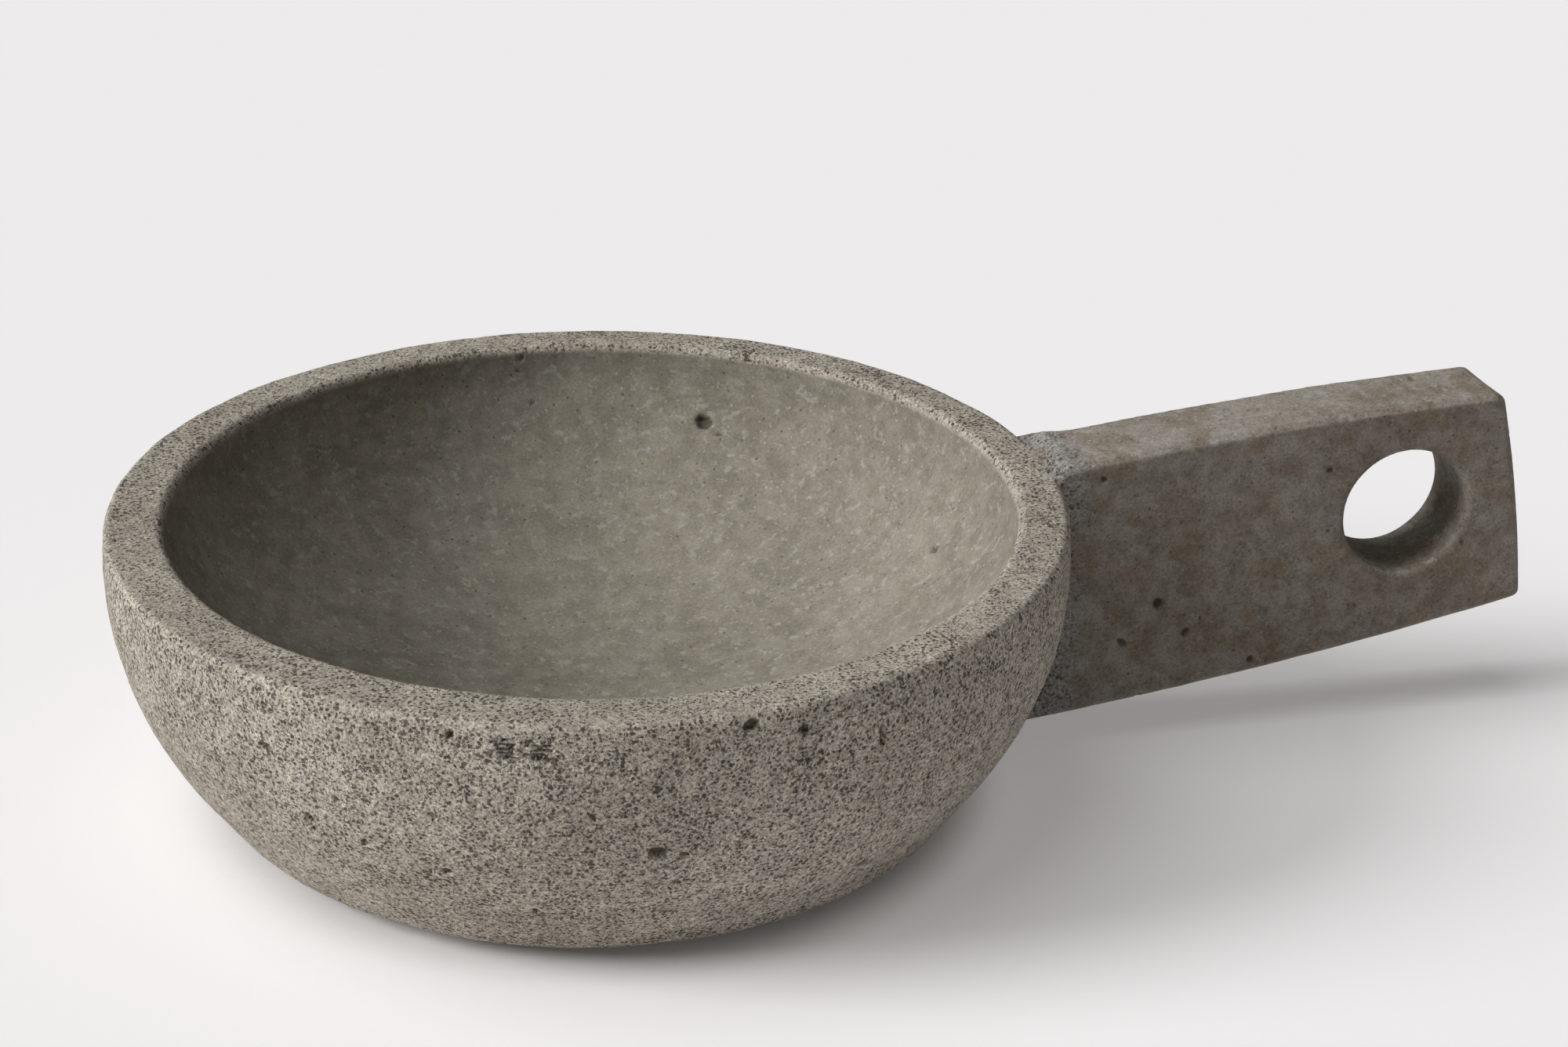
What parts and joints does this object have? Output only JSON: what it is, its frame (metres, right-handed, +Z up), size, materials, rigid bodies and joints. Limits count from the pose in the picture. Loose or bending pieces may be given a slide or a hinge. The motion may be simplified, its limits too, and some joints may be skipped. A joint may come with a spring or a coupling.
{
  "type": "stone mortar bowl with slab handle",
  "caption": "Shallow stone grinding bowl (molcajete) with a flat rim, a wide flat underside and one upright slab handle pierced by a round thumb eye.",
  "frame": {"origin": "on the bowl's axis, on the flat underside it stands on", "axes": "+Z up along the bowl's axis, +X along the handle from the bowl to the handle's end, +Y square to the handle's flat faces"},
  "size_m": [0.3135, 0.2032, 0.0766],
  "materials": {
    "bowl_stone": "fine-pored grey volcanic stone, honed smooth inside and on the rim, left open-grained outside",
    "handle_stone": "fine-pored grey volcanic stone, sawn and lightly honed faces with broken edges"
  },
  "bodies": {
    "root": {"bowl": "bowl_stone", "handle": "handle_stone"}
  },
  "joints": []
}
